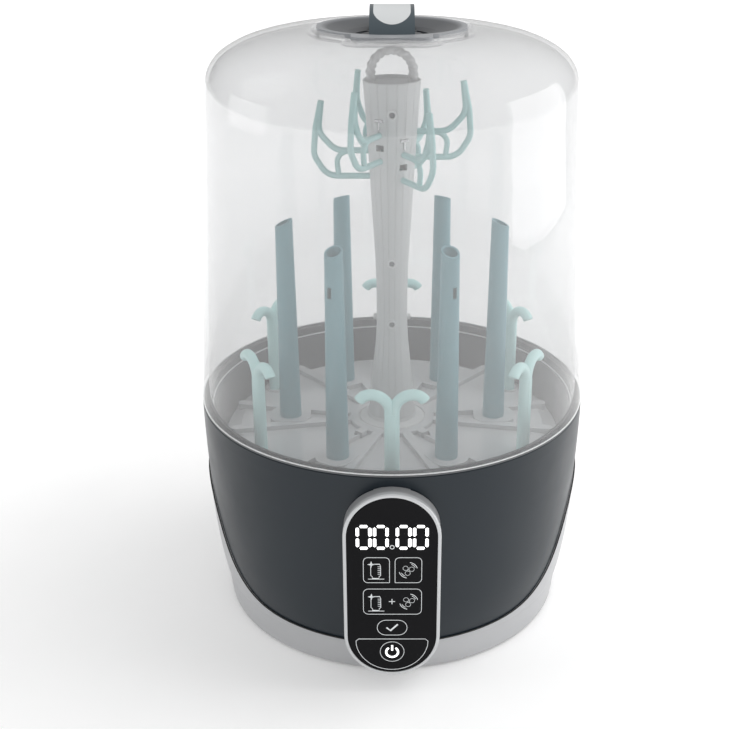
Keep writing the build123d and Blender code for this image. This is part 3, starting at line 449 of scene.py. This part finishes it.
def add_piece(name, bm, material, body, smooth=True):
    """Turn a mesh drawn in millimetres into a piece that moves with a body."""
    bmesh.ops.recalc_face_normals(bm, faces=bm.faces)
    for vert in bm.verts:
        vert.co *= MM
    for face in bm.faces:
        face.smooth = smooth
    mesh = bpy.data.meshes.new(name)
    bm.to_mesh(mesh)
    bm.free()
    mesh.materials.append(material)
    piece = bpy.data.objects.new(name, mesh)
    SCENE.collection.objects.link(piece)
    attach(piece, body)
    return piece


def on_panel(bm, point):
    return bm.verts.new((point[0], PANEL_FACE, point[1]))


def patch(bm, outline):
    """A filled printed shape with this outline."""
    bm.faces.new([on_panel(bm, p) for p in outline])


def line(bm, points, width, closed=False):
    """A printed line of even width through the points."""
    count = len(points)
    sides = []
    for i, point in enumerate(points):
        here = Vector(point)
        before = Vector(points[i - 1]) if closed or i else here
        after = Vector(points[(i + 1) % count]) if closed or i < count - 1 else here
        along = (after - before).normalized()
        leg = (after - here) if after != here else (here - before)
        mitre = max(along.dot(leg.normalized()), 0.5)
        across = Vector((-along.y, along.x)) * (width / 2 / mitre)
        sides.append((on_panel(bm, here + across), on_panel(bm, here - across)))
    for i in range(count if closed else count - 1):
        near, far = sides[i], sides[(i + 1) % count]
        bm.faces.new((near[0], near[1], far[1], far[0]))


def arc(x, z, radius, start, end, steps=24):
    angles = [radians(start + (end - start) * i / steps) for i in range(steps + 1)]
    return [(x + radius * cos(a), z + radius * sin(a)) for a in angles]


def ring(bm, x, z, radius, width):
    line(bm, arc(x, z, radius, 0, 350, 35), width, closed=True)


def key_outline(left, low, right, high, radii):
    """A key's outline from its lower left corner, anticlockwise, with one radius for each corner."""
    r1, r2, r3, r4 = radii
    points = arc(left + r1, low + r1, r1, 180, 270, 6) + arc(right - r2, low + r2, r2, 270, 360, 6)
    return points + arc(right - r3, high - r3, r3, 0, 90, 6) + arc(left + r4, high - r4, r4, 90, 180, 6)


def print_piece(name, bm, material, thickness=0.12):
    """Give flat print its thickness, forward from the glass."""
    grown = bmesh.ops.extrude_face_region(bm, geom=bm.faces[:])
    for item in grown["geom"]:
        if isinstance(item, bmesh.types.BMVert):
            item.co.y -= thickness
    return add_piece(name, bm, material, "base", smooth=False)


def segment(bm, x, z, length, width, upright):
    """One bar of a digit, with pointed ends."""
    half, tip = length / 2, width / 2
    outline = [(-half, 0), (-half + tip * 0.7, -tip), (half - tip * 0.7, -tip)]
    outline += [(half, 0), (half - tip * 0.7, tip), (-half + tip * 0.7, tip)]
    if upright:
        outline = [(-v, u) for u, v in outline]
    patch(bm, [(x + u, z + v) for u, v in outline])


def make_digits():
    """Four lit zeros and the ring between the pairs."""
    bm = bmesh.new()
    low, high, width = 113.9, 132.2, 2.1
    middle = (low + high) / 2
    for left, right in ((-23.2, -13.1), (-12.2, -2.1), (2.4, 12.5), (13.4, 23.5)):
        centre = (left + right) / 2
        for z in (low + width / 2, high - width / 2):
            segment(bm, centre, z, 5.4, width, upright=False)
        for x in (left + width / 2, right - width / 2):
            for z in ((low + 1.2 + middle) / 2, (high - 1.2 + middle) / 2):
                segment(bm, x, z, 6.7, width, upright=True)
    print_piece("digits", bm, GLOW)
    bm = bmesh.new()
    ring(bm, 0.1, 115.7, 1.3, 0.5)
    print_piece("digit_ring", bm, PRINT_WITH_PAINTED_GLOW)


def bottle_icon(bm, x, z, size):
    """A feeding bottle with its scale and a sparkle, on a line. It is about 12 high before scaling."""

    def place(points):
        return [(x + size * u, z + size * v) for u, v in points]
    right_side = [(2.6, 11.2), (3.2, 9.6), (3.2, 2.6), (2.2, 1.6), (2.2, 0.3)]
    left_side = [(-u, v) for u, v in reversed(right_side)]
    line(bm, place(right_side + left_side), 0.38, closed=True)
    line(bm, place([(-5.0, -0.2), (5.6, -0.2)]), 0.4)
    for v in (3.6, 5.0, 6.4, 7.8, 9.2):
        line(bm, place([(1.3, v), (3.0, v)]), 0.35)
    star = []
    for i in range(8):
        reach = 2.5 if i % 2 == 0 else 0.9
        star.append((-2.9 + reach * cos(i * pi / 4), 11.0 + reach * sin(i * pi / 4)))
    patch(bm, place(star))


def fan_icon(bm, x, z):
    """Three round blades and two arcs of moving air."""
    for turn in (20, 140, 260):
        blade_x = x + 2.3 * cos(radians(turn))
        blade_z = z + 2.3 * sin(radians(turn))
        line(bm, arc(blade_x, blade_z, 1.7, 0, 330, 11), 0.22, closed=True)
    ring(bm, x, z, 0.6, 0.22)
    line(bm, arc(x, z, 6.0, 15, 80, 12), 0.42)
    line(bm, arc(x, z, 6.0, 195, 260, 12), 0.42)
    line(bm, arc(x, z, 4.9, 25, 65, 10), 0.35)
    line(bm, arc(x, z, 4.9, 205, 245, 10), 0.35)


def make_keys():
    """The printed keys: two programmes, both together, confirm, and power."""
    bm = bmesh.new()
    line(bm, key_outline(-18.6, 88.6, -1.6, 107.8, (3, 0.3, 3, 3)), 0.36, closed=True)
    line(bm, key_outline(2.0, 88.6, 19.3, 107.8, (0.3, 3, 3, 3)), 0.36, closed=True)
    line(bm, key_outline(-18.8, 63.9, 19.4, 83.7, (3.4, 3.4, 3.4, 3.4)), 0.36, closed=True)
    line(bm, key_outline(-9.8, 47.2, 10.0, 59.1, (5.8, 5.8, 5.8, 5.8)), 0.36, closed=True)
    print_piece("key_outlines", bm, PRINT_WITH_PAINTED_GLOW)
    bm = bmesh.new()
    bottle_icon(bm, -10.6, 91.6, 1.0)
    fan_icon(bm, 10.6, 98.2)
    bottle_icon(bm, -10.6, 66.6, 1.0)
    fan_icon(bm, 11.0, 73.8)
    line(bm, [(-2.0, 73.9), (2.0, 73.9)], 0.55)
    line(bm, [(0.0, 71.9), (0.0, 75.9)], 0.55)
    print_piece("key_icons", bm, PRINT_WITH_PAINTED_GLOW)
    bm = bmesh.new()
    line(bm, [(-3.6, 53.2), (-1.0, 50.8), (3.8, 55.8)], 1.1)
    print_piece("confirm_mark", bm, PRINT_WITH_PAINTED_GLOW)
    bm = bmesh.new()
    field = [(-22.2, 44.0), (-24.0, 42.4)] + arc(0, 43.2, 24.2, 190, 350, 32) + [(24.0, 42.4), (22.2, 44.0)]
    line(bm, field, 0.36, closed=True)
    ring(bm, 0.1, 33.7, 8.0, 0.34)
    print_piece("power_field", bm, PRINT_WITH_PAINTED_GLOW)
    bm = bmesh.new()
    line(bm, arc(0.1, 33.3, 4.0, 125, 415, 40), 1.3)
    line(bm, [(0.1, 34.6), (0.1, 38.9)], 1.3)
    print_piece("power_mark", bm, GLOW)


def make_rope_loop():
    """The rack's carry loop, moulded like a rope: its section waves along its length."""
    half_width, bottom, top = 14.3, 381.8, 404.9
    shoulder = top - half_width
    centres = [(-half_width, bottom + (shoulder - bottom) * i / 12, 1.0) for i in range(12)]
    for i in range(49):
        a = pi - pi * i / 48
        centres.append((half_width * cos(a), shoulder + half_width * sin(a), 1 - sin(a)))
    centres += [(half_width, shoulder - (shoulder - bottom) * i / 12, 1.0) for i in range(1, 13)]
    bm = bmesh.new()
    rings = []
    travelled = 0.0
    for i, (x, z, low) in enumerate(centres):
        before, after = centres[max(i - 1, 0)], centres[min(i + 1, len(centres) - 1)]
        along = Vector((after[0] - before[0], 0, after[1] - before[1])).normalized()
        outward = Vector((along.z, 0, -along.x))
        if i:
            travelled += hypot(x - centres[i - 1][0], z - centres[i - 1][1])
        verts = []
        for k in range(24):
            a = 2 * pi * k / 24
            radius = 2.75 + 0.35 * low + 0.42 * cos(2 * pi * travelled / 4.6 + 2 * a)
            offset = outward * (radius * cos(a)) + Vector((0, radius * sin(a), 0))
            verts.append(bm.verts.new(Vector((x, 0, z)) + offset))
        rings.append(verts)
    for near, far in zip(rings, rings[1:]):
        for k in range(24):
            bm.faces.new((near[k], near[(k + 1) % 24], far[(k + 1) % 24], far[k]))
    bm.faces.new(rings[0])
    bm.faces.new(rings[-1])
    loop = add_piece("rope_loop", bm, MATERIALS["grey_plastic"], "rack")
    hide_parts("carry_loop")


def lathe_ring(name, section, material, body, steps=180):
    """A ring about the Z axis with this closed section of (radius, height)."""
    bm = bmesh.new()
    rows = []
    for k in range(steps):
        a = 2 * pi * k / steps
        rows.append([bm.verts.new((r * cos(a), r * sin(a), z)) for r, z in section])
    for k in range(steps):
        near, far = rows[k], rows[(k + 1) % steps]
        for i in range(len(section)):
            j = (i + 1) % len(section)
            bm.faces.new((near[i], near[j], far[j], far[i]))
    return add_piece(name, bm, material, body)


def block(name, low, high, rounding, material, body):
    """A small moulded block between two corners, its edges rounded."""
    bm = bmesh.new()
    bmesh.ops.create_cube(bm, size=1.0)
    for vert in bm.verts:
        vert.co = [low[i] + (vert.co[i] + 0.5) * (high[i] - low[i]) for i in range(3)]
    bmesh.ops.bevel(bm, geom=bm.edges[:], offset=rounding, segments=3, profile=0.6, affect="EDGES")
    return add_piece(name, bm, material, body)


def make_clips():
    """The bright T-shaped clips in the slots over each accessory arm."""
    bm = bmesh.new()
    for number in range(6):
        a = radians(60 * number)
        drop = 13.2 if number % 2 else 0.0
        outward, across, up = Vector((cos(a), sin(a), 0)), Vector((-sin(a), cos(a), 0)), Vector((0, 0, 1))
        for z, width, height in ((358.2, 1.2, 6.0), (361.1, 5.8, 1.5)):
            made = bmesh.ops.create_cube(bm, size=1.0)
            for vert in made["verts"]:
                u, v, w = vert.co
                vert.co = outward * (CLIP_R + u * 0.7) + across * (v * width) + up * (z - drop + w * height)
    clips = add_piece("arm_clips", bm, CHROME, "rack", smooth=False)


def wall_thickness(surface, degrees, height):
    """How thick a ring-shaped wall is at this angle and height, or 0 where it is open."""
    outside = outside_radius(surface, degrees, height)
    outward = Vector((cos(radians(degrees)), sin(radians(degrees)), 0))
    inside = surface.ray_cast(Vector((0, 0, height * MM)), outward)[0]
    return outside - hypot(inside.x, inside.y) / MM if outside and inside else 0


def wing_edge(surface, degrees):
    """The outer point on the silver wings' upper edge at this angle, found from above.

    The edge is cut slantwise through the wall, so it counts from where the wall has its whole thickness.
    """
    heights = range(ABOVE_WINGS, 0, -1)
    height = next(z for z in heights if wall_thickness(surface, degrees, z) >= WHOLE_WING)
    step = 1.0
    for _ in range(6):
        step /= 2
        if wall_thickness(surface, degrees, height + step) >= WHOLE_WING:
            height += step
    radius = outside_radius(surface, degrees, height - 0.5)
    return radius * cos(radians(degrees)), radius * sin(radians(degrees)), height


def make_joint_shade_line():
    """A dark tube along the silver wings' upper edge: painted shade where the shell dips behind the wings.
    """
    wings = node_surface("silver_cradle")
    # Starts a degree off the middle, so that no ray runs along the surface's seam
    path = [wing_edge(wings, degrees) for degrees in range(-89, 271, 3)]
    data = bpy.data.curves.new("joint_shade_line", "CURVE")
    data.dimensions = "3D"
    data.bevel_depth = 0.5 * MM
    data.bevel_resolution = 3
    spline = data.splines.new("BEZIER")
    spline.bezier_points.add(len(path) - 1)
    for point, place in zip(spline.bezier_points, path):
        point.co = Vector(place) * MM
        point.handle_left_type = "AUTO"
        point.handle_right_type = "AUTO"
    spline.use_cyclic_u = True
    # Painted shade: the black rubber finish darkens the gap under the shell
    data.materials.append(MATERIALS["rubber"])
    joint_shade_line = bpy.data.objects.new("joint_shade_line", data)
    SCENE.collection.objects.link(joint_shade_line)
    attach(joint_shade_line, "base")


def make_screw_collars():
    """A low ring round each screw in the mast's front, lighter than the mast as a painted highlight."""
    mast = node_surface("mast_front")
    section = ((2.0, 0.0), (2.1, 0.8), (3.3, 0.8), (3.6, 0.0))
    for number, height in enumerate(SCREW_HEIGHTS, start=1):
        # Beside the screw, so that its own boss isn't measured
        radii = [outside_radius(mast, degrees, height) or 0 for degrees in (-71, -67, -61)]
        mast_r = round(max(radii), 1)
        collar = bmesh.new()
        rows = []
        for u, v in arc(0, 0, 1.0, 0, 345, 23):
            rows.append([collar.verts.new((u * r, -mast_r - proud, height + v * r)) for r, proud in section])
        for near, far in zip(rows, rows[1:] + rows[:1]):
            for i in range(3):
                collar.faces.new((near[i], near[i + 1], far[i + 1], far[i]))
        # The collar is real; its white finish is a painted highlight on the boss
        piece = add_piece(f"screw_collar_{number}", collar, MATERIALS["silicone"], "rack")


def make_small_pieces():
    """White rings round the base's rim and the cover's foot, which are painted highlights on those edges,
    screw collars, and two lugs at the vent dish.
    """
    # Painted highlights: thin white rings where the rim's inner edge and the cover's foot glint
    rim_glint_section = arc(131.9, 156.0, 0.55, 0, 330, 11)
    lathe_ring("rim_painted_glint", rim_glint_section, MATERIALS["silicone"], "base")
    foot_glint_section = arc(138.5, 162.3, 0.5, 0, 330, 11)
    lathe_ring("foot_painted_glint", foot_glint_section, MATERIALS["silicone"], "cover")
    make_screw_collars()
    for name, x in (("lug_left", -49.0), ("lug_right", 49.0)):
        low, high = (x - 1.3, -2.0, 412.6), (x + 1.3, 2.0, 416.4)
        lug = block(name, low, high, 0.6, MATERIALS["dish_plastic"], "cover")


make_camera()
make_studio()
paint_nodes()
make_digits()
make_keys()
make_rope_loop()
make_clips()
make_joint_shade_line()
make_small_pieces()
